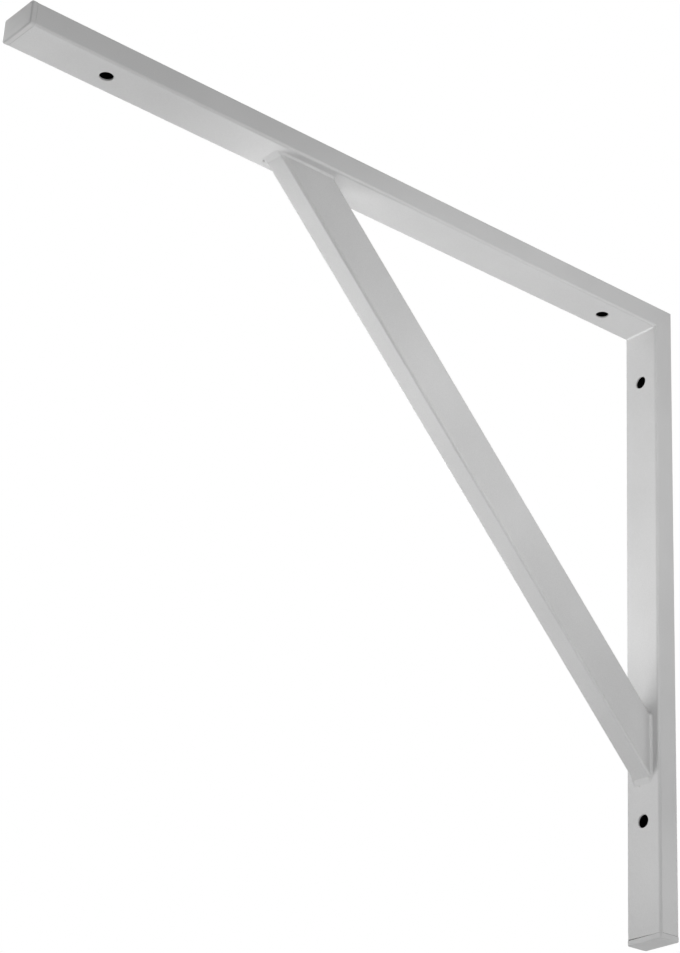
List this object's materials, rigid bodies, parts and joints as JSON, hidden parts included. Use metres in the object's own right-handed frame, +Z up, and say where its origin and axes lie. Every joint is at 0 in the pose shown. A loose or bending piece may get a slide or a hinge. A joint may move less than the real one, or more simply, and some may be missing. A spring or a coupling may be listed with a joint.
{
  "type": "gallows shelf bracket",
  "caption": "Right-angled shelf bracket of welded rectangular tube with a diagonal brace, screw holes in the arm and the upright, and plastic plugs in the open tube ends.",
  "frame": {"origin": "outer corner of the bracket, where the wall plane meets the shelf plane, in the middle of the tubes' width", "axes": "+Y into the wall, so the arm reaches towards -Y; +Z up towards the shelf; X across the tubes"},
  "size_m": [0.03, 0.54, 0.46],
  "materials": {
    "powder_coat": "satin light grey powder coat",
    "cap_plastic": "satin light grey moulding"
  },
  "bodies": {
    "root": {"shelf_arm": "powder_coat", "wall_upright": "powder_coat", "diagonal_brace": "powder_coat", "corner_weld": "powder_coat", "brace_head_weld": "powder_coat", "brace_foot_weld": "powder_coat", "arm_end_cap": "cap_plastic", "upright_end_cap": "cap_plastic"}
  },
  "joints": []
}
